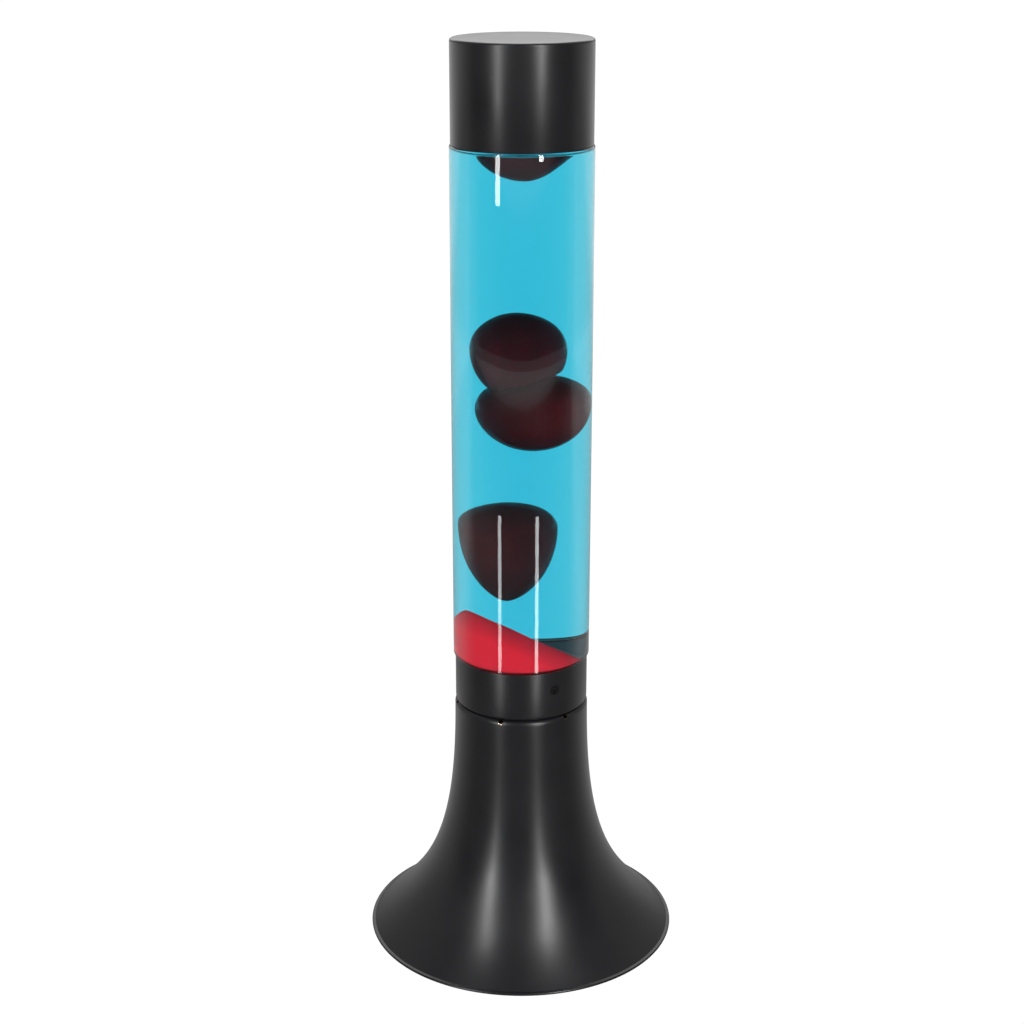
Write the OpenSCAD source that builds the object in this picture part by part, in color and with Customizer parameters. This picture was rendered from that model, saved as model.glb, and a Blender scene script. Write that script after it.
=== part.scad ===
// Lava lamp. A trumpet-shaped spun base holds a reflector bulb. A glass bottle of
// coloured liquid and wax stands in the collar on top, and a cap covers its neck.
// Millimetres. Origin at the centre of the resting plane, +Z up, front towards -Y.

/* [Base] */
// Diameter across the rim of the trumpet
rim_d = 138; // [130:1:146]
// Height of the shoulder where the trumpet meets the collar
shoulder_z = 113; // [111:1:116]
// Diameter of the trumpet at its shoulder
shoulder_d = 59; // [58:0.5:60]
// Thickness of the spun metal
shell_t = 1.2; // [0.8:0.1:1.3]
// Number of vent holes round the shoulder
vent_count = 6; // [3:1:12]
// Diameter of a vent hole
vent_d = 2.1; // [1.5:0.1:2.4]

/* [Collar] */
// Outer diameter of the collar
collar_d = 58.3; // [58:0.1:58.8]
// Height at which the glass meets the collar
collar_top_z = 135; // [134:0.5:137]
// Number of screws that hold the collar on the base's neck
collar_screw_count = 3; // [2:1:4]

/* [Bottle] */
// Outer diameter of the glass tube
tube_d = 60; // [60:0.5:62]
// Length of glass that shows between collar and cap
tube_h = 222.5; // [215:0.5:240]
// Thickness of the glass wall
glass_t = 2.5; // [2:0.1:2.8]
// Diameter of the bottle's neck
neck_d = 30; // [26:1:30]

/* [Cap] */
// Outer diameter of the cap
cap_d = 58.9; // [58.7:0.1:59.4]
// Height of the cap
cap_h = 42.5; // [42:0.5:50]

/* [Wax] */
// Height, on the lamp's axis, of the plane where two blobs press together
contact_z = 259.7; // [258:0.1:261]
// Tilt of that plane, which rises to the right
blob_tilt = 17; // [12:1:20]
// Top of the lower blob
lower_blob_top_z = 206.5; // [203:0.5:208]
// Height, on the lamp's axis, of the wax that lies on the bottle's floor
mound_z = 143.5; // [142:0.5:145]
// Slope of the top of that wax, in degrees
mound_tilt = 32; // [29:1:34]
// Direction in which it slopes down, in degrees from +X towards +Y
mound_turn = 38; // [32:1:44]

/* [Hidden] */
$fn = 96;

// A hair's breadth that keeps touching faces apart
gap = 0.02;
// How far a cutting shape runs past what it cuts
cut = 1;

// Trumpet
foot_h = 1.5;
rim_r = rim_d / 2;
lip_h = 1.3;
lip_step = 1.5;
shoulder_r = shoulder_d / 2;
shoulder_round = 2.2;
flare_z = shoulder_z - shoulder_round;
waist_pull = 66;
flare_out = 25.7;
flare_up = 23;
flare_steps = 40;
rim_flange_r = 58;

// Neck that the collar fits over, and the ledge that carries the bottle
base_neck_r = shoulder_r - shoulder_round;
ledge_z = collar_top_z - 6.8;
ledge_hole_r = 20.6;

// Collar
collar_r = collar_d / 2;
collar_bottom_z = shoulder_z + 0.6;
collar_bore_r = base_neck_r + 0.1;
collar_round = 1.5;
collar_screw_z = collar_top_z - 8.4;
collar_screw_turn = 30;
screw_seat_r = base_neck_r + 0.6;

// Seat ring under the bottle
seat_h = 2.2;
seat_z = ledge_z + seat_h;

// Bottle
tube_r = tube_d / 2;
bore_r = tube_r - glass_t;
tube_round = 0.8;
heel_round = 0.6;
heel_rise = 3;
boss_r = collar_bore_r - 0.4;
boss_z = seat_z + gap;
boss_round = 1.2;
punt_h = 0.8;
floor_z = boss_z + 2.2;
floor_round = 1.2;
tube_top_z = collar_top_z + tube_h;
neck_r = neck_d / 2;
neck_z = tube_top_z + 10;
mouth_z = tube_top_z + 28.5;
mouth_r = neck_r - 3;
boss_bore_r = boss_r - 2.5;
liquid_top_z = tube_top_z + 4.5;

// Closure
closure_r = neck_r + 2;
closure_z = mouth_z - 9;
closure_top_z = mouth_z + 3;

// Cap
cap_r = cap_d / 2;
cap_t = 1.2;
cap_bottom_z = tube_top_z + gap;
cap_top_z = tube_top_z + cap_h;
cap_round = 1.2;

// Bulb and lampholder, measured down from the ledge
bulb_top_z = ledge_z - 4.2;
bulb_r = 19.5;
bulb_t = 0.8;
bulb_neck_z = bulb_top_z - 46;
bulb_cap_z = bulb_top_z - 62;
contact_tip_z = bulb_top_z - 66;
bulb_cap_r = 6.8;
holder_r = 13.5;
holder_floor_z = contact_tip_z - 4;
holder_mouth_z = bulb_neck_z - 1;
dome_z = holder_floor_z - 11;
bracket_top_z = dome_z - 2;
bracket_t = 1.6;
bracket_w = 16;
bracket_leg_x = 24;
nipple_r = 4.9;

// Bottom plate and feet
plate_z = foot_h + shell_t;
plate_t = 1.6;
plate_r = rim_r - 7.5;
foot_ring_r = rim_r - 7;
foot_count = 4;
plate_screw_ring_r = foot_ring_r - 1.4;

// Cord entry at the rear
grommet_z = 8.6;
grommet_r = 4.8;
grommet_bore_r = 3;
grommet_end_y = rim_r - 1;
grommet_start_y = rim_r - 17;

// Wax
cavity = 0.3;
wax_gap = 0.1;
press_gap = 0.15;
pool_r = 14.8;
pool_top_z = tube_top_z - 4.1;
pool_depth = 10;
pool_x = 0.8;
pool_tilt = 6;
upper_blob = [15.1, 17.1, 20.5];
upper_blob_x = -1.1;
upper_blob_z = 272.5;
middle_blob = [18.4, 16.5, 17];
middle_blob_x = 4;
middle_blob_z = 247;
lower_blob = [15.8, 12.7, 32.3];
lower_blob_x = -4.5;
mound_rim_z = collar_top_z;
mound_left_z = 158.2;
mound_left_tilt = 35;
mound_left_turn = 116;
coil_ring_r = 10;
coil_x = -11;
coil_r = 1.5;
wire_r = 0.35;
coil_turns = 16;
coil_z = floor_z + 2.4;

// Point on a cubic curve through p[0] and p[3] with handles p[1] and p[2]
function bezier(p, t) =
    pow(1 - t, 3) * p[0] + 3 * pow(1 - t, 2) * t * p[1]
    + 3 * (1 - t) * t * t * p[2] + pow(t, 3) * p[3];

// Unit vector to the left of the curve's direction
function bezier_left(p, t) =
    let (d = 3 * pow(1 - t, 2) * (p[1] - p[0]) + 6 * (1 - t) * t * (p[2] - p[1])
        + 3 * t * t * (p[3] - p[2]))
    [-d.y, d.x] / norm(d);

// Points along a cubic curve, moved sideways by side
function curve(p, n, side = 0) =
    [for (i = [0:n]) bezier(p, i / n) + side * bezier_left(p, i / n)];

// Points along an arc about c
function arc(c, r, from, to, n = 8) =
    [for (i = [0:n]) let (a = from + (to - from) * i / n) c + r * [cos(a), sin(a)]];

// Outline of the trumpet from its rim up to its shoulder
flare = [
    [rim_r - lip_step, foot_h + lip_h],
    [rim_r - lip_step - flare_out, foot_h + lip_h + flare_up],
    [shoulder_r, flare_z - waist_pull],
    [shoulder_r, flare_z]
];

// Space inside the bottle, shrunk by g, right up to its mouth
function bottle_space(g = 0) = concat(
    [[0, floor_z + g]],
    arc([boss_bore_r - floor_round, floor_z + floor_round], floor_round - g, -90, 0, 6),
    curve([
        [boss_bore_r, collar_top_z + 0.6],
        [boss_bore_r, collar_top_z + 2],
        [bore_r, collar_top_z + 1.6],
        [bore_r, collar_top_z + heel_rise]
    ], 10, g),
    curve([
        [bore_r, tube_top_z - 2.6],
        [bore_r, tube_top_z - 0.9],
        [mouth_r, tube_top_z - 0.8],
        [mouth_r, neck_z]
    ], 12, g),
    [[mouth_r - g, mouth_z + cut], [0, mouth_z + cut]]
);

// Half outline of a blob with radius r[0], rising r[1] and hanging r[2] from its middle
function blob_outline(r, g, shape) = concat(
    [for (a = [-90:7.5:-7.5]) [(r[0] + g) * pow(cos(a), shape[1]), (r[2] + g) * sin(a)]],
    [for (a = [0:7.5:90]) [(r[0] + g) * pow(cos(a), shape[0]), (r[1] + g) * sin(a)]]
);

// Copies of the children round Z, starting at turn degrees from the front
module around(count, turn = 0) {
    for (i = [0:count - 1]) rotate([0, 0, turn + i * 360 / count]) children();
}

// Stands the children on a ring of radius r, pointing away from the axis at the front
module facing_front(r, z, lift = 0) {
    translate([0, -r, z]) rotate([90 - lift, 0, 0]) children();
}

module ring(outer, inner, h) {
    difference() {
        cylinder(r = outer, h = h);
        translate([0, 0, -cut]) cylinder(r = inner, h = h + 2 * cut);
    }
}

// Pan-head screw, its head on the +Z side of the plane z = 0 and its shank below
module pan_screw(head_r, head_h, shank_r, shank_l) {
    slot_w = head_r * 0.4;
    difference() {
        union() {
            cylinder(r = head_r, h = head_h);
            translate([0, 0, -shank_l]) cylinder(r = shank_r, h = shank_l + head_h / 2);
        }
        for (turn = [0, 90]) rotate([0, 0, turn])
            translate([-slot_w * 1.8, -slot_w / 2, head_h * 0.5])
                cube([slot_w * 3.6, slot_w, head_h]);
    }
}

module base_shell() {
    vent_angle = 45;
    inner_top_r = base_neck_r - shell_t;
    profile = concat(
        [[rim_flange_r, foot_h]],
        arc([rim_r - lip_h / 2, foot_h + lip_h / 2], lip_h / 2, -90, 60, 8),
        curve(flare, flare_steps),
        arc([base_neck_r, flare_z], shoulder_round, 9, 90, 9),
        [[base_neck_r, ledge_z], [ledge_hole_r, ledge_z]],
        [[ledge_hole_r, ledge_z - shell_t], [inner_top_r, ledge_z - shell_t]],
        [[inner_top_r, shoulder_z - shell_t]],
        arc([base_neck_r, flare_z], shoulder_round - shell_t, 90, 9, 5),
        [for (i = [0:flare_steps - 2])
            let (t = 1 - i / flare_steps) bezier(flare, t) + shell_t * bezier_left(flare, t)],
        [[rim_r - 3.6, foot_h + shell_t], [rim_flange_r, foot_h + shell_t]]
    );
    color([0.13, 0.13, 0.14])
    difference() {
        rotate_extrude() polygon(profile);
        around(vent_count, -18)
            facing_front(base_neck_r, flare_z, vent_angle)
                cylinder(d = vent_d, h = 6);
        around(collar_screw_count, collar_screw_turn)
            facing_front(0, collar_screw_z) cylinder(r = 1.35, h = collar_r);
        translate([0, grommet_start_y - 3, grommet_z]) rotate([-90, 0, 0])
            cylinder(r = grommet_r + gap, h = 30);
        around(foot_count, 45)
            translate([plate_screw_ring_r, 0, 0]) cylinder(r = 1.5, h = plate_z + cut);
    }
}

module bottom_plate() {
    color([0.08, 0.08, 0.08])
    difference() {
        translate([0, 0, plate_z]) cylinder(r = plate_r, h = plate_t);
        around(foot_count, 45)
            translate([plate_screw_ring_r, 0, 0]) cylinder(r = 1.3, h = 10);
        for (side = [-1, 1]) translate([side * (bracket_leg_x + 7), 0, 0])
            cylinder(r = 1.6, h = 10);
        around(3, 90) translate([40, 0, 0]) cylinder(r = 2, h = 10);
        translate([-grommet_r - 1, grommet_start_y - 2.4, 0])
            cube([2 * grommet_r + 2, 20, 10]);
    }
}

module rim_screws() {
    color([0.6, 0.6, 0.62])
    around(foot_count, 45)
        translate([plate_screw_ring_r, 0, foot_h]) rotate([180, 0, 0])
            pan_screw(2.2, 1.1, 1.25, 3.4);
}

module rubber_feet() {
    foot_r = 4.5;
    color([0.05, 0.05, 0.05])
    around(foot_count, 0) translate([foot_ring_r, 0, 0]) {
        cylinder(r1 = foot_r - 0.4, r2 = foot_r, h = foot_h / 2);
        translate([0, 0, foot_h / 2]) cylinder(r = foot_r, h = foot_h / 2);
    }
}

module cord_grommet() {
    flange_h = 1.6;
    color([0.06, 0.06, 0.06])
    translate([0, grommet_start_y, grommet_z]) rotate([-90, 0, 0])
    difference() {
        union() {
            cylinder(r = grommet_r, h = grommet_end_y - grommet_start_y);
            translate([0, 0, -flange_h]) cylinder(r = grommet_r - 0.8, h = flange_h);
            translate([0, 0, grommet_end_y - grommet_start_y - flange_h])
                cylinder(r = grommet_r + 0.4, h = flange_h);
        }
        translate([0, 0, -5]) cylinder(r = grommet_bore_r, h = 30);
    }
}

module holder_bracket() {
    leg_base = plate_z + plate_t + gap;
    foot_l = 14;
    color([0.62, 0.63, 0.66])
    difference() {
        union() {
            translate([-bracket_leg_x, -bracket_w / 2, bracket_top_z - bracket_t])
                cube([2 * bracket_leg_x, bracket_w, bracket_t]);
            for (side = [0, 1]) mirror([side, 0, 0]) {
                translate([bracket_leg_x - bracket_t, -bracket_w / 2, leg_base])
                    cube([bracket_t, bracket_w, bracket_top_z - leg_base]);
                translate([bracket_leg_x - bracket_t, -bracket_w / 2, leg_base])
                    cube([foot_l, bracket_w, bracket_t]);
            }
        }
        cylinder(r = nipple_r + 0.1, h = bracket_top_z + cut);
        for (side = [-1, 1]) translate([side * (bracket_leg_x + 7), 0, 0])
            cylinder(r = 1.6, h = 10);
    }
}

module bracket_screws() {
    color([0.6, 0.6, 0.62])
    for (side = [-1, 1]) translate([side * (bracket_leg_x + 7), 0, plate_z])
        rotate([180, 0, 0]) pan_screw(2.6, 1, 1.5, plate_t + bracket_t + 2);
}

module mounting_nipple() {
    color([0.72, 0.6, 0.3])
    translate([0, 0, bracket_top_z - 8]) ring(nipple_r, 3.4, 13);
}

module nipple_nuts() {
    nut_h = 3;
    nut_r = 8;
    color([0.7, 0.7, 0.72])
    translate([0, 0, bracket_top_z - bracket_t - nut_h - gap]) difference() {
        cylinder(r = nut_r, h = nut_h, $fn = 6);
        translate([0, 0, -cut]) cylinder(r = nipple_r + gap, h = nut_h + 2 * cut);
    }
}

module lampholder_dome() {
    h = holder_floor_z - dome_z;
    color([0.1, 0.1, 0.1])
    translate([0, 0, dome_z]) rotate_extrude() polygon(concat(
        [[nipple_r + gap, -2], [holder_r - 5, -2]],
        arc([holder_r - 6, 6], 6, -60, 0, 6),
        [[holder_r, h], [holder_r - 1.8, h]],
        [[holder_r - 1.8, 6], [holder_r - 5, 1.6], [nipple_r + gap, 1.6]]
    ));
}

module lampholder_skirt() {
    floor_t = 3;
    color([0.12, 0.12, 0.12])
    translate([0, 0, holder_floor_z + gap]) difference() {
        union() {
            cylinder(r = holder_r, h = holder_mouth_z - holder_floor_z);
            around(24) translate([holder_r - 0.2, -0.4, 2])
                cube([0.7, 0.8, holder_mouth_z - holder_floor_z - 4]);
        }
        translate([0, 0, floor_t]) cylinder(r = 10, h = 40);
        translate([0, 0, -cut]) cylinder(r = 2, h = 10);
        for (side = [-1, 1]) translate([side * 7, 0, -cut]) cylinder(r = 1.2, h = 10);
    }
}

module contact_sleeve() {
    sleeve_z = holder_floor_z + 3.1;
    color([0.78, 0.62, 0.28])
    translate([0, 0, sleeve_z]) {
        ring(7.7, 7.1, holder_mouth_z - sleeve_z - 3);
        ring(9.2, 6, 0.6);
    }
}

module centre_contact() {
    tongue_z = contact_tip_z - 0.9;
    color([0.8, 0.65, 0.35])
    union() {
        translate([0, 0, tongue_z]) cylinder(r = 2.4, h = 0.5);
        translate([0, 0, holder_floor_z + 1]) cylinder(r = 1.6, h = tongue_z - holder_floor_z - 0.9);
    }
}

module terminal_screws() {
    color([0.75, 0.72, 0.6])
    for (side = [-1, 1]) translate([side * 7, 0, holder_floor_z - 0.1])
        rotate([180, 0, 0]) pan_screw(2, 1.4, 1.1, 2.9);
}

module lamp_collar() {
    color([0.13, 0.13, 0.14])
    difference() {
        rotate_extrude() polygon(concat(
            [[collar_bore_r, collar_bottom_z]],
            arc([collar_r - collar_round, collar_bottom_z + collar_round], collar_round, -80, 0),
            arc([collar_r - 0.4, collar_top_z - 0.4 - gap], 0.4, 0, 90, 4),
            [[collar_bore_r, collar_top_z - gap]]
        ));
        around(collar_screw_count, collar_screw_turn) {
            facing_front(0, collar_screw_z) cylinder(r = 1.35, h = collar_r + cut);
            facing_front(screw_seat_r, collar_screw_z) cylinder(r = 2.2, h = 3);
        }
    }
}

module collar_screws() {
    color([0.05, 0.05, 0.05])
    around(collar_screw_count, collar_screw_turn)
        facing_front(screw_seat_r + gap, collar_screw_z) pan_screw(2, 0.9, 1.3, 3.6);
}

module seat_ring() {
    color([0.75, 0.75, 0.75])
    translate([0, 0, ledge_z + gap / 2]) ring(base_neck_r - 0.4, ledge_hole_r + 0.5, seat_h - gap);
}

// Outline of the reflector bulb's glass, shrunk by g
function bulb_outline(g) = concat(
    [[0, bulb_neck_z - 8 + 2 * g], [5.2 - g, bulb_neck_z - 8 + 2 * g], [5.4 - g, bulb_neck_z]],
    curve([
        [6.6 - g, bulb_neck_z + 4],
        [8 - g, bulb_neck_z + 15],
        [bulb_r - g, bulb_neck_z + 22],
        [bulb_r - g, bulb_top_z - 10]
    ], 14),
    curve([
        [bulb_r - g, bulb_top_z - 8],
        [bulb_r - g, bulb_top_z - 3 - g],
        [12, bulb_top_z - g],
        [0, bulb_top_z - g]
    ], 10)
);

module bulb_envelope() {
    color([0.9, 0.9, 0.85, 0.6])
    difference() {
        rotate_extrude() polygon(bulb_outline(0));
        rotate_extrude() polygon(bulb_outline(bulb_t));
    }
}

module bulb_cap() {
    cap_top = bulb_neck_z + 0.5;
    color([0.8, 0.7, 0.4])
    rotate_extrude() polygon(concat(
        [[bulb_cap_r - 0.7, bulb_cap_z]],
        [for (i = [0:10]) [bulb_cap_r - (i % 2 == 0 ? 0.5 : 0), bulb_cap_z + 0.4 + i * 1.15]],
        [[bulb_cap_r, bulb_cap_z + 12.6], [bulb_cap_r, cap_top], [5.6, cap_top]],
        [[5.6, bulb_cap_z]]
    ));
}

module bulb_insulator() {
    color([0.07, 0.07, 0.1])
    union() {
        translate([0, 0, contact_tip_z + 0.8])
            cylinder(r1 = 3.2, r2 = 5.5, h = bulb_cap_z - contact_tip_z + 0.4);
        translate([0, 0, contact_tip_z]) cylinder(r = 2.6, h = 0.9);
    }
}

module bulb_stem() {
    stem_z = bulb_neck_z - 6;
    color([0.8, 0.85, 0.85, 0.5])
    union() {
        translate([0, 0, stem_z]) cylinder(r1 = 3.6, r2 = 1.8, h = 16);
        for (side = [-1, 1]) translate([side * 1, 0, stem_z + 12]) rotate([0, side * 24, 0])
            cylinder(r = 0.3, h = 16);
    }
}

module bulb_filament() {
    span = 14;
    color([0.95, 0.75, 0.4])
    translate([-span / 2, 0, bulb_neck_z + 21.6]) rotate([0, 90, 0]) cylinder(r = 0.5, h = span);
}

// Outline of the bottle's outside, from the middle of its foot to its mouth
function bottle_outside() = concat(
    [[0, boss_z + punt_h], [boss_r - 8.5, boss_z + punt_h], [boss_r - 5, boss_z]],
    arc([boss_r - boss_round, boss_z + boss_round], boss_round, -90, 0, 4),
    [[boss_r, collar_top_z]],
    arc([tube_r - heel_round, collar_top_z + heel_round], heel_round, -90, 0),
    arc([tube_r - tube_round, tube_top_z - tube_round], tube_round, 0, 90),
    curve([
        [tube_r - 4, tube_top_z],
        [tube_r - 9, tube_top_z + 1],
        [neck_r, tube_top_z + 2],
        [neck_r, neck_z]
    ], 10),
    [[neck_r, mouth_z], [0, mouth_z]]
);

module glass_bottle() {
    color([0.85, 0.95, 0.97, 0.3])
    difference() {
        rotate_extrude() polygon(bottle_outside());
        rotate_extrude() polygon(bottle_space());
    }
}

module bottle_closure() {
    ribs = 36;
    color([0.9, 0.9, 0.9])
    difference() {
        union() {
            translate([0, 0, closure_z]) cylinder(r = closure_r, h = closure_top_z - closure_z);
            translate([0, 0, closure_z]) around(ribs)
                translate([closure_r - 0.2, -0.4, 0]) cube([0.6, 0.8, closure_top_z - closure_z - 1]);
        }
        translate([0, 0, closure_z - cut]) cylinder(r = neck_r + 0.1, h = mouth_z + 1.5 - closure_z + cut);
    }
}

module closure_liner() {
    color([0.95, 0.95, 0.9])
    translate([0, 0, mouth_z + gap]) cylinder(r = neck_r, h = 1.4);
}

// Everything under a plane at height z on the axis, which slopes down towards turn
module below(z, tilt, turn = 0) {
    block = 600;
    translate([0, 0, z]) rotate([0, tilt, turn])
        translate([-block / 2, -block / 2, -block]) cube(block);
}

// Wax on the bottle's floor: high at the front left, a thin layer at the rear right
module wax_mound(g = 0) {
    color([0.75, 0.05, 0.12])
    difference() {
        intersection() {
            rotate_extrude() polygon(bottle_space(wax_gap - g));
            union() {
                below(mound_rim_z + g, 0);
                intersection() {
                    below(mound_z + g, mound_tilt, mound_turn);
                    below(mound_left_z + g, mound_left_tilt, mound_left_turn);
                }
            }
        }
        if (g == 0) translate([coil_x, 0, coil_z]) rotate_extrude()
            translate([coil_ring_r, 0]) circle(r = coil_r + 0.3, $fn = 32);
    }
}

// Wire wound round a ring-shaped core, as one closed tube
module wire_coil() {
    sides = 5;
    steps = coil_turns * 9;
    middle_r = coil_r - wire_r;
    function spin(i) = 360 * coil_turns * i / steps;
    function core(i) = [cos(360 * i / steps), sin(360 * i / steps), 0];
    function centre(i) =
        (coil_ring_r + middle_r * cos(spin(i))) * core(i) + [0, 0, middle_r * sin(spin(i))];
    function outward(i) = cos(spin(i)) * core(i) + [0, 0, sin(spin(i))];
    function side(i) = let (c = cross(centre(i + 0.5) - centre(i - 0.5), outward(i))) c / norm(c);
    points = [for (i = [0:steps - 1], k = [0:sides - 1])
        centre(i) + wire_r * (cos(360 * k / sides) * outward(i) + sin(360 * k / sides) * side(i))];
    faces = [for (i = [0:steps - 1], k = [0:sides - 1])
        let (j = (i + 1) % steps, m = (k + 1) % sides)
        each [[i * sides + k, j * sides + k, j * sides + m], [i * sides + k, j * sides + m, i * sides + m]]];
    color([0.7, 0.7, 0.7])
    translate([coil_x, 0, coil_z]) polyhedron(points, faces, convexity = 10);
}

// Wax that floats under the shoulder, with a flat top
module wax_pool(g = 0) {
    color([0.35, 0.03, 0.08])
    translate([pool_x, 0, pool_top_z]) rotate([-pool_tilt, 0, 0]) rotate_extrude() polygon(concat(
        [[0, g]],
        [for (a = [0:7.5:90]) [pool_r * cos(a) + g, (a == 0 ? g : -g) - pool_depth * pow(sin(a), 1.8)]],
        [[0, -g - pool_depth]]
    ));
}

module blob(r, g = 0, shape = [1, 1]) {
    rotate_extrude() polygon(blob_outline(r, g, shape));
}

// The upper and middle blobs press flat against the two sides of one tilted plane
module wax_blob_upper(g = 0) {
    color([0.35, 0.03, 0.08])
    difference() {
        translate([upper_blob_x, 0, upper_blob_z]) blob(upper_blob, g);
        below(contact_z + press_gap - g, -blob_tilt);
    }
}

module wax_blob_middle(g = 0) {
    color([0.35, 0.03, 0.08])
    intersection() {
        translate([middle_blob_x, 0, middle_blob_z]) blob(middle_blob, g);
        below(contact_z - press_gap + g, -blob_tilt);
    }
}

module wax_blob_lower(g = 0) {
    color([0.35, 0.03, 0.08])
    translate([lower_blob_x, 0, lower_blob_top_z - lower_blob[1]]) blob(lower_blob, g, [0.85, 1.25]);
}

module liquid() {
    color([0.15, 0.7, 0.85, 0.5])
    difference() {
        intersection() {
            rotate_extrude() polygon(bottle_space(wax_gap));
            cylinder(r = tube_r, h = liquid_top_z);
        }
        wax_mound(cavity);
        wax_pool(cavity);
        wax_blob_upper(cavity);
        wax_blob_middle(cavity);
        wax_blob_lower(cavity);
    }
}

module cap_shell() {
    inner_r = cap_r - cap_t;
    color([0.13, 0.13, 0.14])
    rotate_extrude() polygon(concat(
        [[0, cap_top_z - cap_t], [inner_r - 0.4, cap_top_z - cap_t]],
        [[inner_r, cap_top_z - cap_t - 0.4], [inner_r, cap_bottom_z]],
        arc([cap_r - 0.4, cap_bottom_z + 0.4], 0.4, -90, 0, 4),
        arc([cap_r - cap_round, cap_top_z - cap_round], cap_round, 0, 90, 8),
        [[0, cap_top_z]]
    ));
}

module cap_liner() {
    liner_z = neck_z + 4;
    color([0.85, 0.85, 0.85])
    translate([0, 0, liner_z]) difference() {
        union() {
            ring(cap_r - cap_t - gap, closure_r + 2, 2);
            ring(closure_r + 3.4, closure_r + 2, 10);
        }
        around(4) translate([closure_r + 8, 0, -cut]) cylinder(r = 2, h = 5);
    }
}

base_shell();
bottom_plate();
rim_screws();
rubber_feet();
cord_grommet();
holder_bracket();
bracket_screws();
mounting_nipple();
nipple_nuts();
lampholder_dome();
lampholder_skirt();
contact_sleeve();
centre_contact();
terminal_screws();
lamp_collar();
collar_screws();
seat_ring();
bulb_envelope();
bulb_cap();
bulb_insulator();
bulb_stem();
bulb_filament();
glass_bottle();
bottle_closure();
closure_liner();
liquid();
wire_coil();
wax_mound();
wax_pool();
wax_blob_upper();
wax_blob_middle();
wax_blob_lower();
cap_shell();
cap_liner();
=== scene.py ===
# Looks of the lava lamp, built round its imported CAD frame. Metres, +Z up, front towards -Y.
import math

import bmesh
import bpy
from mathutils import Matrix, Vector, noise


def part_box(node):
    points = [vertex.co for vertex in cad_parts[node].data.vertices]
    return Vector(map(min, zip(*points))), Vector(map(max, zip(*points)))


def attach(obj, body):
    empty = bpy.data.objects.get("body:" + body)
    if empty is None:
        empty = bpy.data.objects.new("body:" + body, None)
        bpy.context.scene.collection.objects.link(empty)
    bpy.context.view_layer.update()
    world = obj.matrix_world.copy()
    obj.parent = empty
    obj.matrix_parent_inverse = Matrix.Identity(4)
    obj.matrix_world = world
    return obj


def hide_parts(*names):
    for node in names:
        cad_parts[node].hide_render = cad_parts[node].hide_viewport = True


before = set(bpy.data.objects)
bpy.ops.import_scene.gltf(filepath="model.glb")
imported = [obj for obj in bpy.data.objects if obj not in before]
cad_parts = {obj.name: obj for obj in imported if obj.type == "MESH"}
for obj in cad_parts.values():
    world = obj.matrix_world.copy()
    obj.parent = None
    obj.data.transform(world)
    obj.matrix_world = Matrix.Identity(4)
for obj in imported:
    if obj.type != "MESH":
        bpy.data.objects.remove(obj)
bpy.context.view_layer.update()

MM = 0.001


# ---------------------------------------------------------------- sizes from the frame

def node_top(name):
    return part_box(name)[1].z


def node_bottom(name):
    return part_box(name)[0].z


def node_radius(name):
    low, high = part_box(name)
    return (high.x - low.x) / 2


# Black parts: rim, lip, flare, shoulder and the ledge that the bottle stands on.
RIM_R = node_radius("base_shell")
FOOT_H = node_bottom("base_shell")
LEDGE_Z = node_top("base_shell")
COLLAR_R = node_radius("lamp_collar")
COLLAR_Z0 = node_bottom("lamp_collar")
COLLAR_Z1 = node_top("lamp_collar")
TUBE_R = node_radius("glass_bottle")
BOSS_Z = node_bottom("glass_bottle")
MOUTH_Z = node_top("glass_bottle")
FLOOR_Z = BOSS_Z + 2.2 * MM
LIQUID_TOP = node_top("liquid")
CAP_R = node_radius("cap_shell")
CAP_Z0 = node_bottom("cap_shell")
CAP_Z1 = node_top("cap_shell")
SHELL_T = 1.2 * MM
LEDGE_HOLE_R = 20.6 * MM
PLATE_SEAT_R = 58 * MM
SHOULDER_Z = COLLAR_Z0 - 0.6 * MM
SHOULDER_R = 29.5 * MM
SHOULDER_ROUND = 2.2 * MM
NECK_R = SHOULDER_R - SHOULDER_ROUND
COLLAR_BORE_R = NECK_R + 0.1 * MM

# Glass: the wall, the boss that stands in the collar, and the neck under the cap.
TUBE_TOP = CAP_Z0
GLASS_T = 2.5 * MM
BORE_R = TUBE_R - GLASS_T
BORE_Z0 = COLLAR_Z1 + 1.4 * MM
BOSS_R = COLLAR_BORE_R - 0.4 * MM
BOTTLE_NECK_R = 15 * MM
MOUTH_R = BOTTLE_NECK_R - 3 * MM
NECK_Z = TUBE_TOP + 10 * MM

# Holes round the black parts. Angles are in degrees to the right of the front.
VENT_R = 1.05 * MM
VENT_ANGLES = [-18 + 60 * i for i in range(6)]
SCREW_ANGLES = [30 + 120 * i for i in range(3)]
SCREW_Z = COLLAR_Z1 - 8.4 * MM
SCREW_SEAT_R = 2.2 * MM
SCREW_HOLE_R = 1.35 * MM
GROMMET_Z = 8.6 * MM
CORD_HOLE_R = 4.82 * MM

# Wax: the height where the two upper blobs meet, and how they are told apart.
MEET_Z = 259.7 * MM
ABOVE = 1
BELOW = -1


# ---------------------------------------------------------------- outlines

def arc(cx, cz, r, start, end, n=12):
    """Points (r, z) along an arc; angles in degrees."""
    angles = [math.radians(start + (end - start) * i / n) for i in range(n + 1)]
    return [(cx + r * math.cos(a), cz + r * math.sin(a)) for a in angles]


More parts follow.
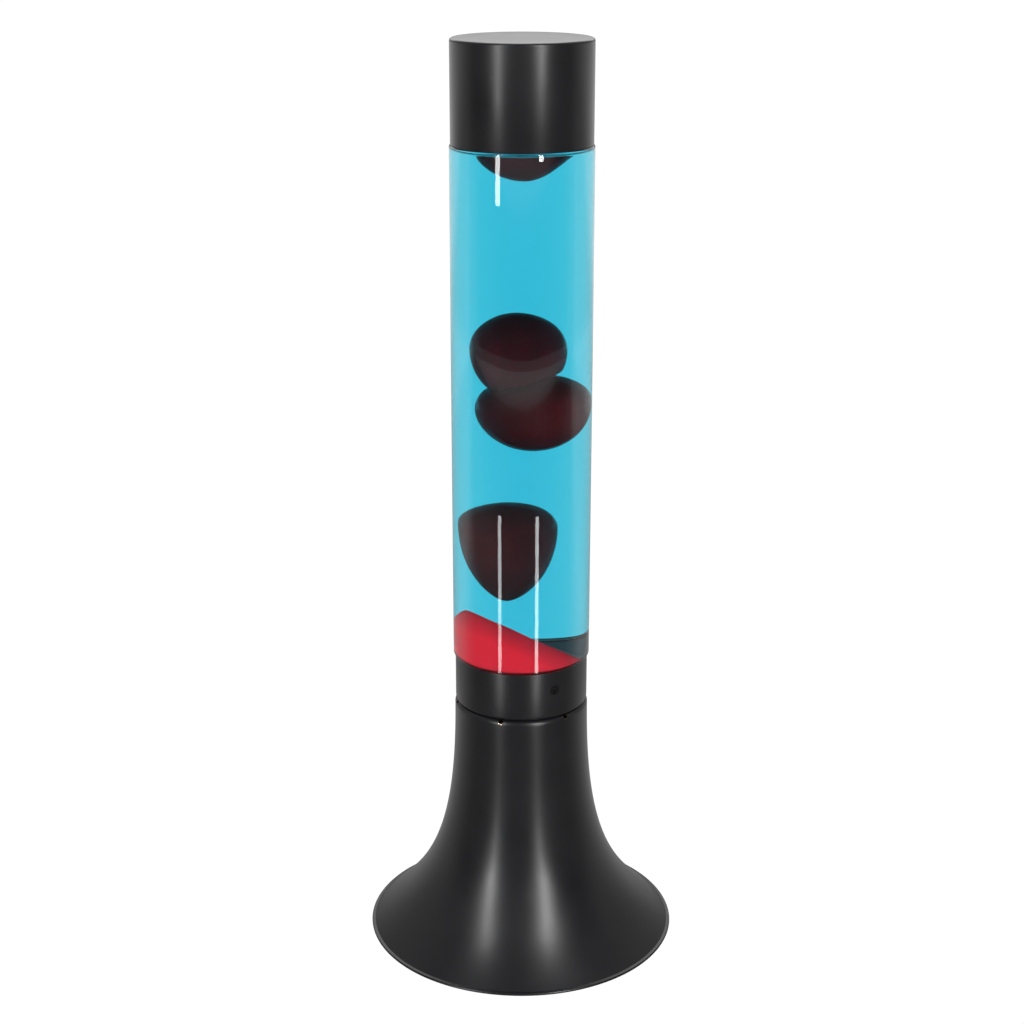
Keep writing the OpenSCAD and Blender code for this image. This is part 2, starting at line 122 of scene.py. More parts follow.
def bezier(points, n, side=0.0):
    """Points along a cubic curve, moved to its left by side."""
    p0, p1, p2, p3 = [Vector(p) for p in points]
    out = []
    for i in range(n + 1):
        t = i / n
        p = (1 - t) ** 3 * p0 + 3 * (1 - t) ** 2 * t * p1 + 3 * (1 - t) * t * t * p2 + t ** 3 * p3
        d = (1 - t) ** 2 * (p1 - p0) + 2 * (1 - t) * t * (p2 - p1) + t * t * (p3 - p2)
        d.normalize()
        out.append((p.x - side * d.y, p.y + side * d.x))
    return out


def front(angle, r, z):
    """A point r from the axis, angle degrees to the right of the front."""
    a = math.radians(angle)
    return Vector((r * math.sin(a), -r * math.cos(a), z))


# ---------------------------------------------------------------- meshes

def new_object(name, bm, material, body, replaces=(), smooth=40):
    bmesh.ops.recalc_face_normals(bm, faces=bm.faces)
    mesh = bpy.data.meshes.new(name)
    bm.to_mesh(mesh)
    bm.free()
    obj = bpy.data.objects.new(name, mesh)
    bpy.context.scene.collection.objects.link(obj)
    smooth_by_angle(obj, smooth)
    mesh.materials.append(material)
    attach(obj, body)
    for node in replaces:
        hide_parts(node)
    return obj


def smooth_by_angle(obj, angle):
    mesh = obj.data
    mesh.shade_smooth()
    limit = math.radians(angle)
    bm = bmesh.new()
    bm.from_mesh(mesh)
    for e in bm.edges:
        e.smooth = len(e.link_faces) == 2 and e.calc_face_angle(0) < limit
    bm.to_mesh(mesh)
    bm.free()


def lathe(outline, segments=160):
    """A closed surface of revolution about Z from a closed outline of (r, z) points."""
    bm = bmesh.new()
    rings = []
    for r, z in outline:
        if r < 1e-7:
            rings.append([bm.verts.new((0, 0, z))])
            continue
        turn = [2 * math.pi * k / segments for k in range(segments)]
        rings.append([bm.verts.new((r * math.cos(a), r * math.sin(a), z)) for a in turn])
    for i, ring in enumerate(rings):
        other = rings[(i + 1) % len(rings)]
        if len(ring) == 1 and len(other) == 1:
            continue
        for k in range(segments):
            m = (k + 1) % segments
            if len(ring) == 1:
                bm.faces.new((ring[0], other[m], other[k]))
            elif len(other) == 1:
                bm.faces.new((ring[k], ring[m], other[0]))
            else:
                bm.faces.new((ring[k], ring[m], other[m], other[k]))
    return bm


def rod(start, end, r, segments=32):
    """A capped cylinder between two points, as a cutter."""
    bm = bmesh.new()
    axis = end - start
    turn = Vector((0, 0, 1)).rotation_difference(axis).to_matrix().to_4x4()
    bmesh.ops.create_cone(bm, cap_ends=True, segments=segments, radius1=r, radius2=r, depth=axis.length,
                          matrix=Matrix.Translation((start + end) / 2) @ turn)
    return bm


def combine(bm, others, operation="DIFFERENCE"):
    """bm with the others taken away, or only what it shares with them, as a new bmesh."""
    scene = bpy.context.scene.collection
    objects = []
    for source in (bm, *others):
        mesh = bpy.data.meshes.new("scratch")
        source.to_mesh(mesh)
        source.free()
        objects.append(bpy.data.objects.new("scratch", mesh))
        scene.objects.link(objects[-1])
    for other in objects[1:]:
        mod = objects[0].modifiers.new("cut", "BOOLEAN")
        mod.operation = operation
        mod.solver = "EXACT"
        mod.object = other
    graph = bpy.context.evaluated_depsgraph_get()
    result = bmesh.new()
    result.from_mesh(objects[0].evaluated_get(graph).to_mesh())
    for obj in objects:
        bpy.data.meshes.remove(obj.data)
    return result


def paint(obj, material, inside):
    """Gives the material to each face whose middle passes the test."""
    obj.data.materials.append(material)
    for face in obj.data.polygons:
        if inside(face.center):
            face.material_index = len(obj.data.materials) - 1


# ---------------------------------------------------------------- materials

class Look:
    """A node material: a Principled shader with helpers for noise, colour and bump."""

    def __init__(self, name, **inputs):
        self.material = bpy.data.materials.new(name)
        self.material.use_nodes = True
        self.tree = self.material.node_tree
        self.shader = self.tree.nodes["Principled BSDF"]
        for key, value in inputs.items():
            self.set(key, value)

    def set(self, key, value):
        socket = self.shader.inputs[key.replace("_", " ")]
        socket.default_value = (*value, 1) if socket.type == "RGBA" else value

    def node(self, kind, **settings):
        n = self.tree.nodes.new(kind)
        for key, value in settings.items():
            if key in n.inputs:
                n.inputs[key].default_value = value
            else:
                setattr(n, key, value)
        return n

    def link(self, a, b):
        self.tree.links.new(a, b)

    def noise(self, scale, detail, stretch=(1, 1, 1)):
        """Noise over the object's own coordinates; scale is in cycles per metre."""
        coords = self.node("ShaderNodeTexCoord")
        mapping = self.node("ShaderNodeMapping")
        mapping.inputs["Scale"].default_value = stretch
        tex = self.node("ShaderNodeTexNoise")
        tex.inputs["Scale"].default_value = scale
        tex.inputs["Detail"].default_value = detail
        self.link(coords.outputs["Object"], mapping.inputs["Vector"])
        self.link(mapping.outputs["Vector"], tex.inputs["Vector"])
        return tex.outputs["Fac"]

    def ramp(self, fac, stops):
        """A colour ramp: stops are (position, grey or (r, g, b))."""
        n = self.node("ShaderNodeValToRGB")
        elements = n.color_ramp.elements
        while len(elements) < len(stops):
            elements.new(0.5)
        for e, (pos, value) in zip(elements, stops):
            e.position = pos
            rgb = value if isinstance(value, tuple) else (value, value, value)
            e.color = (*rgb, 1)
        self.link(fac, n.inputs["Fac"])
        return n.outputs["Color"]

    def colour(self, fac, dark, light):
        self.link(self.ramp(fac, [(0.3, dark), (0.7, light)]), self.shader.inputs["Base Color"])

    def roughness(self, fac, low, high):
        self.link(self.ramp(fac, [(0.25, low), (0.75, high)]), self.shader.inputs["Roughness"])

    def bump(self, height, distance, strength):
        """Relief from a height; distance is how deep it goes, in metres."""
        n = self.node("ShaderNodeBump")
        n.inputs["Strength"].default_value = strength
        n.inputs["Distance"].default_value = distance
        self.link(height, n.inputs["Height"])
        self.link(n.outputs["Normal"], self.shader.inputs["Normal"])

    def absorb(self, colour, density):
        """Colours what lies behind the surface, more the thicker it is."""
        v = self.node("ShaderNodeVolumeAbsorption")
        v.inputs["Color"].default_value = (*colour, 1)
        v.inputs["Density"].default_value = density
        self.link(v.outputs["Volume"], self.tree.nodes["Material Output"].inputs["Volume"])


def powder_coat():
    """Black paint with a soft shine and a very fine grain."""
    look = Look("satin_powder_coat", IOR=1.45)
    broad = look.noise(45, 4)
    grain = look.noise(2600, 2)
    look.colour(broad, (0.008, 0.008, 0.0092), (0.011, 0.011, 0.0123))
    look.roughness(broad, 0.27, 0.32)
    look.bump(grain, 0.02 * MM, 0.35)
    return look.material


# How shiny a surface is where wet glass meets the liquid.
WET = 0.02


def glass(name, tint=(1, 1, 1), rough=0.0, ior=1.5, specular=0.5):
    look = Look(name, Base_Color=tint, IOR=ior, Transmission_Weight=1.0, Specular_IOR_Level=specular)
    streak = look.noise(30, 2, (1, 1, 0.15))
    look.roughness(streak, rough, rough + 0.004)
    look.bump(look.noise(55, 1, (1, 1, 0.3)), 0.02 * MM, 0.25)
    return look.material


def liquid():
    look = Look("blue_liquid", Base_Color=(1, 1, 1), Roughness=0.0, IOR=1.36, Transmission_Weight=1.0)
    look.set("Specular IOR Level", WET)
    look.absorb((0.2, 0.868, 0.946), 75.0)
    look.bump(look.noise(20, 1), 0.01 * MM, 0.2)
    return look.material


def soft_wax(name, gloss):
    """Wax with no colour yet, and the cloudy noise that its gloss follows."""
    look = Look(name, IOR=1.2, Subsurface_Weight=0.35, Subsurface_Scale=0.004)
    look.set("Subsurface Radius", (1.0, 0.12, 0.12))
    cloud = look.noise(60, 3)
    look.roughness(cloud, gloss, gloss + 0.06)
    look.bump(look.noise(90, 2), 0.05 * MM, 0.3)
    return look, cloud


def drifting_wax():
    look, cloud = soft_wax("drifting_wax", 0.05)
    look.colour(cloud, (0.20, 0.002, 0.007), (0.26, 0.003, 0.011))
    return look.material


def floor_wax_painted_light():
    """Wax on the floor with painted light: bright crimson low down for light from below, and painted shade
    in maroon towards its sloping top.
    """
    look, cloud = soft_wax("floor_wax_painted_light", 0.1)
    coords = look.node("ShaderNodeTexCoord")
    # Height along the mound's tilt; it sets where the painted light fades into painted shade.
    tilt = look.node("ShaderNodeVectorMath", operation="DOT_PRODUCT")
    tilt.inputs[1].default_value = (0.492, 0.385, 1.0)
    depth = look.node("ShaderNodeMapRange")
    depth.inputs["From Min"].default_value = 144 * MM
    depth.inputs["From Max"].default_value = 130 * MM
    mottle = look.node("ShaderNodeMath", operation="MULTIPLY_ADD")
    mottle.inputs[1].default_value = 0.35
    look.link(coords.outputs["Object"], tilt.inputs[0])
    look.link(tilt.outputs["Value"], depth.inputs["Value"])
    look.link(cloud, mottle.inputs[0])
    look.link(depth.outputs["Result"], mottle.inputs[2])
    # Painted light and shade: maroon painted shade high up, crimson painted light low down, with the
    # cloud's mottle on top.
    painted_light_shades = [(0.15, (0.30, 0.017, 0.040)), (0.55, (0.60, 0.020, 0.046)), (0.95, (0.86, 0.024, 0.058))]
    look.link(look.ramp(mottle.outputs[0], painted_light_shades), look.shader.inputs["Base Color"])
    return look.material


def metal(name, dark, light, rough, scale=300, stretch=(1, 1, 1)):
    look = Look(name, Metallic=1.0)
    fac = look.noise(scale, 3, stretch)
    look.colour(fac, dark, light)
    look.roughness(fac, rough, rough + 0.12)
    look.bump(fac, 0.03 * MM, 0.3)
    return look.material


def moulded(name, dark, light, rough, grain=1800, depth=0.02):
    look = Look(name, IOR=1.46)
    fac = look.noise(120, 3)
    look.colour(fac, dark, light)
    look.roughness(fac, rough, rough + 0.08)
    look.bump(look.noise(grain, 2), depth * MM, 0.4)
    return look.material


BLACK = powder_coat()
GLASS = glass("clear_glass")
WET_GLASS = glass("wet_glass", specular=WET)
LIQUID = liquid()
WAX = drifting_wax()
# Wax on the floor, its colour holding painted light from below and painted shade towards its top.
PAINTED_LIGHT_FLOOR_WAX = floor_wax_painted_light()
RUBBER = moulded("black_rubber", (0.012, 0.012, 0.012), (0.022, 0.022, 0.022), 0.62)
PLATE = moulded("plate_black", (0.016, 0.016, 0.016), (0.026, 0.026, 0.025), 0.5, 900, 0.05)
PHENOLIC = moulded("phenolic", (0.012, 0.011, 0.010), (0.022, 0.019, 0.017), 0.34)
SILICONE = moulded("silicone", (0.45, 0.45, 0.43), (0.55, 0.55, 0.52), 0.45)
LINER = moulded("liner_black", (0.02, 0.02, 0.02), (0.035, 0.035, 0.035), 0.5)
FOAM = moulded("liner_white", (0.7, 0.7, 0.67), (0.8, 0.8, 0.77), 0.6)
ZINC = metal("zinc_plate", (0.42, 0.43, 0.45), (0.6, 0.61, 0.63), 0.3)
BRASS = metal("brass", (0.45, 0.28, 0.09), (0.7, 0.48, 0.18), 0.25)
SCREW = metal("black_screw", (0.05, 0.05, 0.053), (0.09, 0.09, 0.094), 0.18)
RAW_EDGE = metal("drilled_edge", (0.62, 0.40, 0.26), (0.78, 0.60, 0.40), 0.2, 900)
CLOSURE = metal("closure_aluminium", (0.55, 0.55, 0.57), (0.72, 0.72, 0.74), 0.3, 150, (1, 1, 12))
WIRE = metal("wire", (0.4, 0.4, 0.4), (0.6, 0.6, 0.6), 0.25)
INSULATOR = moulded("insulator", (0.01, 0.01, 0.016), (0.02, 0.02, 0.03), 0.1)
BULB_GLASS = glass("bulb_glass", (0.97, 0.96, 0.93), 0.25, 1.45)
STEM_GLASS = glass("stem_glass", (0.95, 0.97, 0.96), 0.02, 1.5)

# The CAD nodes that are carried over as they are, and what each is made of.
CAD_LOOKS = {
    PLATE: ["bottom_plate"],
    RUBBER: ["rubber_feet", "cord_grommet"],
    ZINC: ["rim_screws", "holder_bracket", "bracket_screws", "nipple_nuts"],
    BRASS: ["mounting_nipple", "contact_sleeve", "centre_contact", "terminal_screws", "bulb_cap"],
    PHENOLIC: ["lampholder_dome", "lampholder_skirt"],
    SCREW: ["collar_screws"],
    SILICONE: ["seat_ring"],
    BULB_GLASS: ["bulb_envelope"],
    STEM_GLASS: ["bulb_stem"],
    WIRE: ["bulb_filament", "wire_coil"],
    INSULATOR: ["bulb_insulator"],
    CLOSURE: ["bottle_closure"],
    FOAM: ["closure_liner"],
    LINER: ["cap_liner"],
}
for material, nodes in CAD_LOOKS.items():
    for name in nodes:
        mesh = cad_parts[name].data
        mesh.materials.clear()
        mesh.materials.append(material)


# ---------------------------------------------------------------- black spun parts

def off_axis(point, start, out):
    """Distance from a line, for a point just beyond its start."""
    along = (point - start).dot(out)
    return (point - start - along * out).length if 0 < along < 4 * MM else 1.0


def make_base():
    """The spun trumpet, open below, with its vents and cord hole cut through."""
    lip = 1.3 * MM
    flare_z = SHOULDER_Z - SHOULDER_ROUND
    flare = [
        (RIM_R - 1.5 * MM, FOOT_H + lip),
        (RIM_R - 27.2 * MM, FOOT_H + lip + 23 * MM),
        (SHOULDER_R, flare_z - 66 * MM),
        (SHOULDER_R, flare_z),
    ]
    outer = (
        arc(RIM_R - lip / 2, FOOT_H + lip / 2, lip / 2, -90, 60, 10)
        + bezier(flare, 90)
        + arc(NECK_R, flare_z, SHOULDER_ROUND, 6, 90, 14)
        + [(NECK_R, LEDGE_Z), (LEDGE_HOLE_R, LEDGE_Z)]
    )
    inner = (
        [(LEDGE_HOLE_R, LEDGE_Z - SHELL_T), (NECK_R - SHELL_T, LEDGE_Z - SHELL_T)]
        + [(NECK_R - SHELL_T, SHOULDER_Z - SHELL_T)]
        + arc(NECK_R, flare_z, SHOULDER_ROUND - SHELL_T, 90, 9, 6)
        + bezier(flare, 90, SHELL_T)[88:2:-1]
        + [(RIM_R - 3.6 * MM, FOOT_H + SHELL_T), (PLATE_SEAT_R, FOOT_H + SHELL_T), (PLATE_SEAT_R, FOOT_H)]
    )
    vents, mouths = [], []
    for angle in VENT_ANGLES:
        start = front(angle, NECK_R, flare_z)
        out = (front(angle, 1, 0) + Vector((0, 0, 1))).normalized()
        vents.append(rod(start, start + out * 6 * MM, VENT_R))
        mouths.append((start, out))
    cord_hole = rod(Vector((0, 49 * MM, GROMMET_Z)), Vector((0, 75 * MM, GROMMET_Z)), CORD_HOLE_R, 48)
    shell = combine(lathe(outer + inner, 256), vents + [cord_hole])
    obj = new_object("base_trumpet", shell, BLACK, "base", ["base_shell"], 32)

    def drilled(c):
        return any(0.99 * MM < off_axis(c, start, out) < 1.1 * MM for start, out in mouths)
    paint(obj, RAW_EDGE, drilled)


def make_collar():
    """The band round the bottle's foot, with a seat and a hole for each set screw."""
    r = 1.5 * MM
    z0 = COLLAR_Z0 - 0.35 * MM
    z1 = COLLAR_Z1
    outline = (
        [(COLLAR_BORE_R, z0)]
        + arc(COLLAR_R - r, z0 + r, r, -80, 0)
        + arc(COLLAR_R - 0.4 * MM, z1 - 0.4 * MM, 0.4 * MM, 0, 90, 6)
        + [(COLLAR_BORE_R, z1)]
    )
    holes = []
    for angle in SCREW_ANGLES:
        seat = front(angle, NECK_R + 0.6 * MM, SCREW_Z)
        holes.append(rod(seat, front(angle, COLLAR_R + 2 * MM, SCREW_Z), SCREW_SEAT_R, 48))
        inner_end = front(angle, NECK_R - 2 * MM, SCREW_Z)
        holes.append(rod(inner_end, front(angle, NECK_R + MM, SCREW_Z), SCREW_HOLE_R))
    band = combine(lathe(outline, 192), holes)
    new_object("collar_band", band, BLACK, "base", ["lamp_collar"], 32)


def make_cap():
    """A drum that is open below."""
    r = 1.2 * MM
    inner_r = CAP_R - r
    outline = (
        [(0, CAP_Z1 - r), (inner_r - 0.4 * MM, CAP_Z1 - r)]
        + [(inner_r, CAP_Z1 - r - 0.4 * MM), (inner_r, CAP_Z0)]
        + arc(CAP_R - 0.4 * MM, CAP_Z0 + 0.4 * MM, 0.4 * MM, -90, 0, 6)
        + arc(CAP_R - r, CAP_Z1 - r, r, 0, 90, 12)
        + [(CAP_R * 0.5, CAP_Z1), (0, CAP_Z1)]
    )
    new_object("cap_drum", lathe(outline, 192), BLACK, "top_cap", ["cap_shell"], 32)


# ---------------------------------------------------------------- bottle and liquid

def bottle_space(g, top):
    """Half outline of the space in the bottle, shrunk by g, from its floor up to the height top."""
    bore = BOSS_R - GLASS_T
    step = [(bore, COLLAR_Z1 - MM), (bore, COLLAR_Z1 + 0.2 * MM), (BORE_R, COLLAR_Z1 + 0.2 * MM)]
    step.append((BORE_R, BORE_Z0))
    shoulder = [(BORE_R, TUBE_TOP - 1.6 * MM), (BORE_R, TUBE_TOP - 0.3 * MM)]
    shoulder += [(MOUTH_R, TUBE_TOP - 0.3 * MM), (MOUTH_R, NECK_Z)]
    outline = (
        [(0, FLOOR_Z + g)]
        + arc(bore - MM, FLOOR_Z + MM, MM - g, -90, 0, 6)
        + bezier(step, 12, g)
        + bezier(shoulder, 28, g)
        + [(MOUTH_R - g, MOUTH_Z)]
    )
    kept = [p for p in outline if p[1] < top]
    (r0, z0), (r1, z1) = kept[-1], outline[min(len(kept), len(outline) - 1)]
    t = (top - z0) / (z1 - z0) if z1 > z0 else 0
    return kept + [(r0 + (r1 - r0) * t, top)]


def make_bottle():
    """The glass, whose wall takes a faint shine where the liquid wets it."""
    heel = 0.6 * MM
    tube_round = 0.8 * MM
    shoulder = [(TUBE_R - 4 * MM, TUBE_TOP), (TUBE_R - 9 * MM, TUBE_TOP + MM)]
    shoulder += [(BOTTLE_NECK_R, TUBE_TOP + 2 * MM), (BOTTLE_NECK_R, NECK_Z)]
    outside = (
        [(0, BOSS_Z + 0.8 * MM), (BOSS_R - 8.5 * MM, BOSS_Z + 0.8 * MM), (BOSS_R - 5 * MM, BOSS_Z)]
        + arc(BOSS_R - 1.2 * MM, BOSS_Z + 1.2 * MM, 1.2 * MM, -90, 0, 6)
        + [(BOSS_R, COLLAR_Z1)]
        + arc(TUBE_R - heel, COLLAR_Z1 + heel, heel, -90, 0)
        + arc(TUBE_R - tube_round, TUBE_TOP - tube_round, tube_round, 0, 90)
        + bezier(shoulder, 20)
        + arc(BOTTLE_NECK_R - 0.8 * MM, MOUTH_Z - 0.8 * MM, 0.8 * MM, 0, 90, 6)
    )
    inside = bottle_space(0, MOUTH_Z)[::-1]
    bottle = lathe(outside + inside, 192)
    obj = new_object("bottle", bottle, GLASS, "globe", ["glass_bottle"], 30)

    def wetted(c):
        r = math.hypot(c.x, c.y)
        wall = BORE_R if c.z > BORE_Z0 else BOSS_R - GLASS_T
        return c.z < LIQUID_TOP and r < wall + 0.01 * MM and c.z > FLOOR_Z - 0.1 * MM
    paint(obj, WET_GLASS, wetted)


def make_liquid():
    """The liquid's skin lies a hair inside the glass, so that no gap of air shows between them."""
    outline = bottle_space(-0.15 * MM, LIQUID_TOP)
    outline += [(outline[-1][0] - 1.2 * MM, LIQUID_TOP - 0.7 * MM), (0, LIQUID_TOP - 0.8 * MM)]
    new_object("liquid_column", lathe(outline, 192), LIQUID, "globe", ["liquid"], 30)


# ---------------------------------------------------------------- wax

def swollen(direction, radius, up, down, shape):
    """Where a blob's skin lies in a direction: shape says how its left, right and lower parts fill out."""
    p = direction.normalized()
    left, right, below = shape
    lean = 0.5 + 0.5 * p.x / max(math.hypot(p.x, p.y), 1e-6)
    fill = left + (right - left) * lean if p.z > 0 else below
    wide = max(1 - p.z * p.z, 0.0)
    turn = math.atan2(p.y, p.x)
    r = radius * wide ** fill
    return Vector((r * math.cos(turn), r * math.sin(turn), p.z * (up if p.z > 0 else down)))


def pressed(point, plane_z, side):
    """A point held softly above or below the tilted plane where two blobs meet."""
    tilt = math.radians(17)
    normal = Vector((-math.sin(tilt), 0, math.cos(tilt))) * side
    soft = 0.55 * MM
    rest = 0.16 * MM
    away = (point - Vector((0, 0, plane_z))).dot(normal) - rest
    held = soft * math.log1p(math.exp(away / soft)) if away < 20 * soft else away
    return point + normal * (held - away)


def make_blob(name, node, body, centre, size, shape, seed, side=0):
    """One blob; size is its radius and its reach up and down, and all lengths are in mm."""
    radius, up, down = [v * MM for v in size]
    centre = Vector(centre) * MM
    offset = Vector((seed * 3.1, seed * 1.7, seed * 5.3))
    bm = bmesh.new()
    bmesh.ops.create_uvsphere(bm, u_segments=128, v_segments=96, radius=1)
    for v in bm.verts:
        swell = 1 + 0.012 * noise.noise(v.co * 1.3 + offset)
        v.co = centre + swollen(v.co, radius, up, down, shape) * swell
        if side:
            v.co = pressed(v.co, MEET_Z, side)
    return new_object(name, bm, WAX, body, [node], 80)


def make_blobs():
    make_blob("wax_upper", "wax_blob_upper", "upper_wax", (-1.1, 0, 272.5), (15.0, 17.0, 20.4),
              (0.5, 0.5, 0.5), 1, ABOVE)
    make_blob("wax_middle", "wax_blob_middle", "middle_wax", (4, 0, 247), (18.3, 16.4, 16.9),
              (0.5, 0.5, 0.5), 2, BELOW)
    make_blob("wax_lower", "wax_blob_lower", "lower_wax", (-4.5, 0, 193.8), (15.7, 12.6, 32.2),
              (0.62, 0.41, 0.62), 3)


def make_pool():
    """The drop of wax that floats under the bottle's shoulder, with a flat top."""
    radius = 14.7 * MM
    depth = 9.8 * MM
    rings = 28
    sectors = 128
    bm = bmesh.new()
    top = bm.verts.new((0, 0, 0))
    tip = bm.verts.new((0, 0, -depth))
    rows = []
    for i in range(rings):
        u = 1 - i / rings
        row = []
        for k in range(sectors):
            turn = 2 * math.pi * k / sectors
            fill = 1.0 + 0.27 * math.cos(turn)
            z = -depth * (1 - u * u) ** fill - 0.1 * MM
            row.append(bm.verts.new((radius * u * math.cos(turn), radius * u * math.sin(turn), z)))
        rows.append(row)
    rim = [bm.verts.new((v.co.x * 0.99, v.co.y * 0.99, 0)) for v in rows[0]]
    rows.insert(0, rim)
    for k in range(sectors):
        m = (k + 1) % sectors
        bm.faces.new((top, rim[m], rim[k]))
        bm.faces.new((tip, rows[-1][k], rows[-1][m]))
        for upper, lower in zip(rows, rows[1:]):
            bm.faces.new((upper[k], upper[m], lower[m], lower[k]))
    tilt = Matrix.Rotation(math.radians(-6), 4, "X")
    place = Matrix.Translation((0.8 * MM, 0, TUBE_TOP - 3.7 * MM))
    bmesh.ops.transform(bm, matrix=place @ tilt, verts=bm.verts)
    new_object("wax_under_shoulder", bm, WAX, "globe", ["wax_pool"], 50)


def slope(x, y, height, tilt, turn):
    """Height of a plane that slopes down towards turn, by tilt; both are in degrees."""
    a = math.radians(turn)
    return height - math.tan(math.radians(tilt)) * (x * math.cos(a) + y * math.sin(a))


def mound_height(x, y):
    """The lower of two slopes, with the ridge between them rounded off, down to a thin layer."""
    right = slope(x, y, height=143.4 * MM, tilt=32, turn=38)
    left = slope(x, y, height=158.1 * MM, tilt=35, turn=116)
    soft = 0.6 * MM
    low = min(right, left) - soft * math.log1p(math.exp(-abs(right - left) / soft))
    return max(low + 0.4 * MM * noise.noise(Vector((x, y, 0)) * 90), COLLAR_Z1 - 0.1 * MM)


def make_mound():
    """Wax on the floor: high at the front left, a thin layer at the rear right. It wets the glass."""
    reach = 30 * MM
    steps = 90
    low = FLOOR_Z - 3 * MM
    top = 170 * MM
    bm = bmesh.new()
    side = [reach * (2 * i / steps - 1) for i in range(steps + 1)]
    tops = [[bm.verts.new((x, y, mound_height(x, y))) for y in side] for x in side]
    for i in range(steps):
        for k in range(steps):
            bm.faces.new((tops[i][k], tops[i + 1][k], tops[i + 1][k + 1], tops[i][k + 1]))
    rim = [e for e in bm.edges if len(e.link_faces) == 1]
    drop = bmesh.ops.extrude_edge_only(bm, edges=rim)["geom"]
    for v in drop:
        if isinstance(v, bmesh.types.BMVert):
            v.co.z = low
    bmesh.ops.holes_fill(bm, edges=[e for e in bm.edges if len(e.link_faces) == 1], sides=0)
    bmesh.ops.recalc_face_normals(bm, faces=bm.faces)
    body = lathe(bottle_space(-0.2 * MM, top) + [(0, top)], 160)
    bmesh.ops.recalc_face_normals(body, faces=body.faces)
    mound = combine(body, [bm], "INTERSECT")
    new_object("wax_on_floor", mound, PAINTED_LIGHT_FLOOR_WAX, "globe", ["wax_mound"], 50)


make_base()
make_collar()
make_cap()
make_bottle()
make_liquid()
make_blobs()
make_pool()
make_mound()


# ---------------------------------------------------------------- stage, lights and camera

def make_floor():
    """A pale floor: white seen straight or through the glass, and graded along Y in reflections."""
    look = Look("studio_floor", Roughness=0.8, IOR=1.2)
    look.colour(look.noise(6, 2), (0.06, 0.06, 0.06), (0.07, 0.07, 0.07))
    path = look.node("ShaderNodeLightPath")
    seen = look.node("ShaderNodeMath", operation="MAXIMUM")
    straight = look.node("ShaderNodeMath", operation="LESS_THAN")
    straight.inputs[1].default_value = 0.5
    direct = look.node("ShaderNodeMath", operation="MULTIPLY")
    coords = look.node("ShaderNodeTexCoord")
    split = look.node("ShaderNodeSeparateXYZ")
    shift = look.node("ShaderNodeMapRange")
    shift.inputs["From Min"].default_value = -4.0
    shift.inputs["From Max"].default_value = 2.0
    either = look.node("ShaderNodeMath", operation="MAXIMUM")
    power = look.node("ShaderNodeMath", operation="MULTIPLY_ADD")
    power.inputs[1].default_value = 0.7
    power.inputs[2].default_value = 1.03
    glow = look.node("ShaderNodeEmission")
    mix = look.node("ShaderNodeMixShader")
    look.link(path.outputs["Is Camera Ray"], seen.inputs[0])
    look.link(path.outputs["Is Transmission Ray"], seen.inputs[1])
    look.link(path.outputs["Glossy Depth"], straight.inputs[0])
    look.link(seen.outputs[0], direct.inputs[0])
    look.link(straight.outputs[0], direct.inputs[1])
    look.link(coords.outputs["Object"], split.inputs["Vector"])
    look.link(split.outputs["Y"], shift.inputs["Value"])
    graded = look.ramp(shift.outputs["Result"], [
        (0.12, 0.55), (0.24, 0.10), (0.40, 0.02), (0.58, 0.02), (0.62, 0.10),
        (0.66, 0.10), (0.69, 0.50), (0.73, 0.35), (0.83, 0.40), (0.93, 0.95)])
    look.link(direct.outputs[0], either.inputs[0])
    look.link(graded, either.inputs[1])
    look.link(path.outputs["Diffuse Depth"], power.inputs[0])
    look.link(power.outputs[0], glow.inputs["Strength"])
    look.link(either.outputs[0], mix.inputs["Fac"])
    look.link(look.shader.outputs["BSDF"], mix.inputs[1])
    look.link(glow.outputs["Emission"], mix.inputs[2])
    look.link(mix.outputs["Shader"], look.tree.nodes["Material Output"].inputs["Surface"])
    bm = bmesh.new()
    bmesh.ops.create_grid(bm, x_segments=4, y_segments=4, size=40)
    mesh = bpy.data.meshes.new("studio_floor")
    bm.to_mesh(mesh)
    bm.free()
    mesh.materials.append(look.material)
    floor = bpy.data.objects.new("studio_floor", mesh)
    bpy.context.scene.collection.objects.link(floor)


def softbox(name, place, target, size, radiance):
    """An area light that faces target, unseen by the camera and through the glass."""
    light = bpy.data.lights.new(name, "AREA")
    light.shape = "RECTANGLE"
    light.size, light.size_y = size
    light.energy = radiance * size[0] * size[1] * math.pi
    obj = bpy.data.objects.new(name, light)
    obj.location = place
    obj.rotation_euler = (Vector(target) - Vector(place)).to_track_quat("-Z", "Y").to_euler()
    obj.visible_camera = False
    obj.visible_transmission = False
    bpy.context.scene.collection.objects.link(obj)


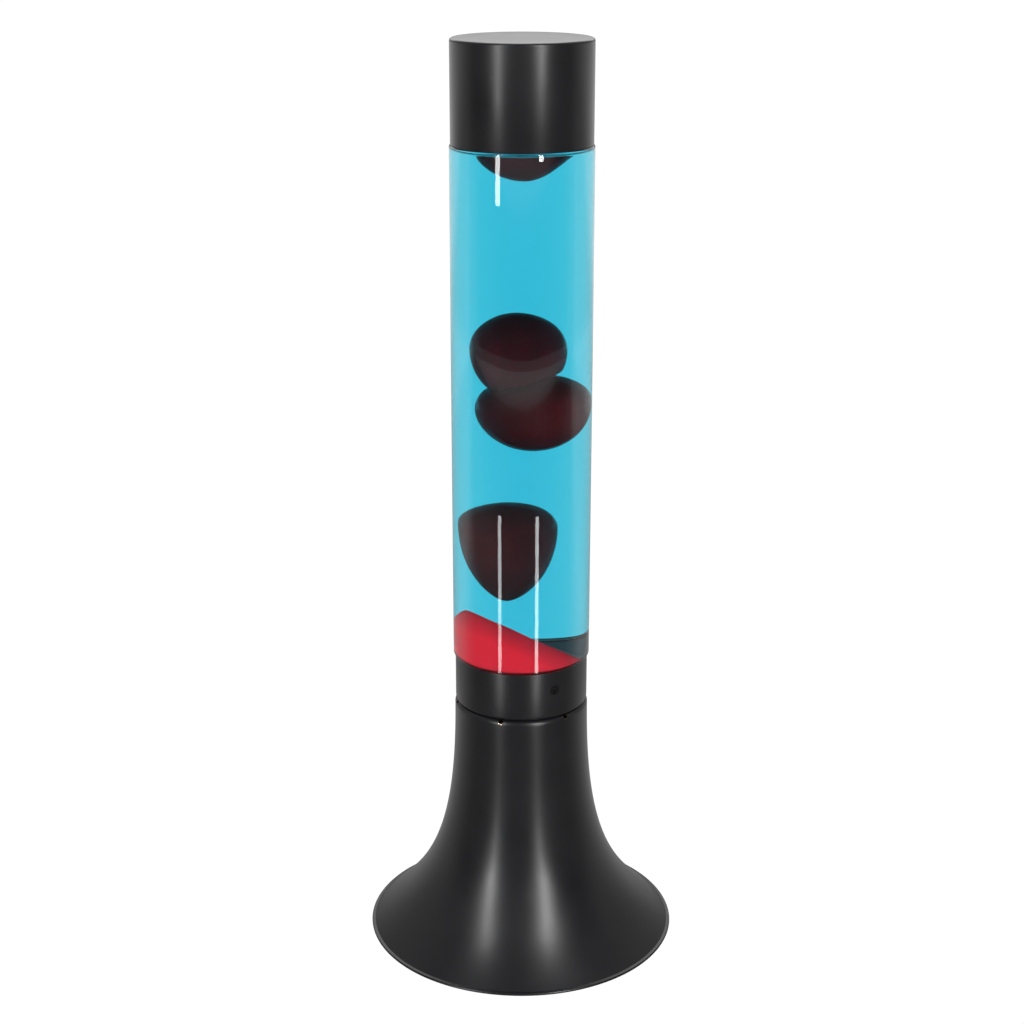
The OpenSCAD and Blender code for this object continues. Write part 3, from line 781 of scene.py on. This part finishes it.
def make_lights():
    """Two tall strips in front, each with a short one near the base, and two boxes behind."""
    axis_mid = 0.5 * (CAP_Z1 + FOOT_H)
    for angle, foot, low, high in ((-37.8, 0.19, 16, 19), (29.4, 0.25, 21, 31)):
        place = front(angle, 1.3, 0)
        for bottom, top, strength in ((foot, 0.8, low), (0.8, 1.5, high)):
            middle = (bottom + top) / 2
            softbox("strip", (place.x, place.y, middle), (0, 0, middle), (0.16, top - bottom), strength)
    for angle, strength in ((-34.4, 9), (24.4, 11)):
        place = front(angle, 0.25, 0)
        softbox("low_strip", (place.x, place.y, 0.0755), (0, 0, 0.0755), (0.023, 0.103), strength)
    softbox("top", (0, 0.7, 1.7), (0, 0, axis_mid), (1.0, 0.6), 3)
    softbox("back", (0, 1.3, 0.95), (0, 0, CAP_Z1), (1.6, 0.7), 1.55)


def make_world():
    """A grey backdrop behind the lamp and a dim room in front of it."""
    world = bpy.data.worlds.new("studio")
    world.use_nodes = True
    tree = world.node_tree
    coords = tree.nodes.new("ShaderNodeTexCoord")
    split = tree.nodes.new("ShaderNodeSeparateXYZ")
    ramp = tree.nodes.new("ShaderNodeValToRGB")
    shift = tree.nodes.new("ShaderNodeMapRange")
    shift.inputs["From Min"].default_value = -1
    tree.links.new(coords.outputs["Generated"], split.inputs["Vector"])
    tree.links.new(split.outputs["Y"], shift.inputs["Value"])
    tree.links.new(shift.outputs["Result"], ramp.inputs["Fac"])
    first, last = ramp.color_ramp.elements
    first.position, first.color = 0.35, (0.06, 0.06, 0.065, 1)
    last.position, last.color = 0.56, (0.4, 0.4, 0.4, 1)
    tree.links.new(ramp.outputs["Color"], tree.nodes["Background"].inputs["Color"])
    bpy.context.scene.world = world


def make_camera():
    camera = bpy.data.cameras.new("camera")
    camera.sensor_width = 36
    camera.lens = 67.94
    camera.clip_end = 50
    obj = bpy.data.objects.new("camera", camera)
    obj.location = (0, -0.79484, 0.46541)
    obj.rotation_euler = (math.radians(90 - 18.507), 0, math.radians(0.2965))
    bpy.context.scene.collection.objects.link(obj)
    bpy.context.scene.camera = obj


make_floor()
make_lights()
make_world()
make_camera()
bpy.context.scene.view_settings.view_transform = "Standard"
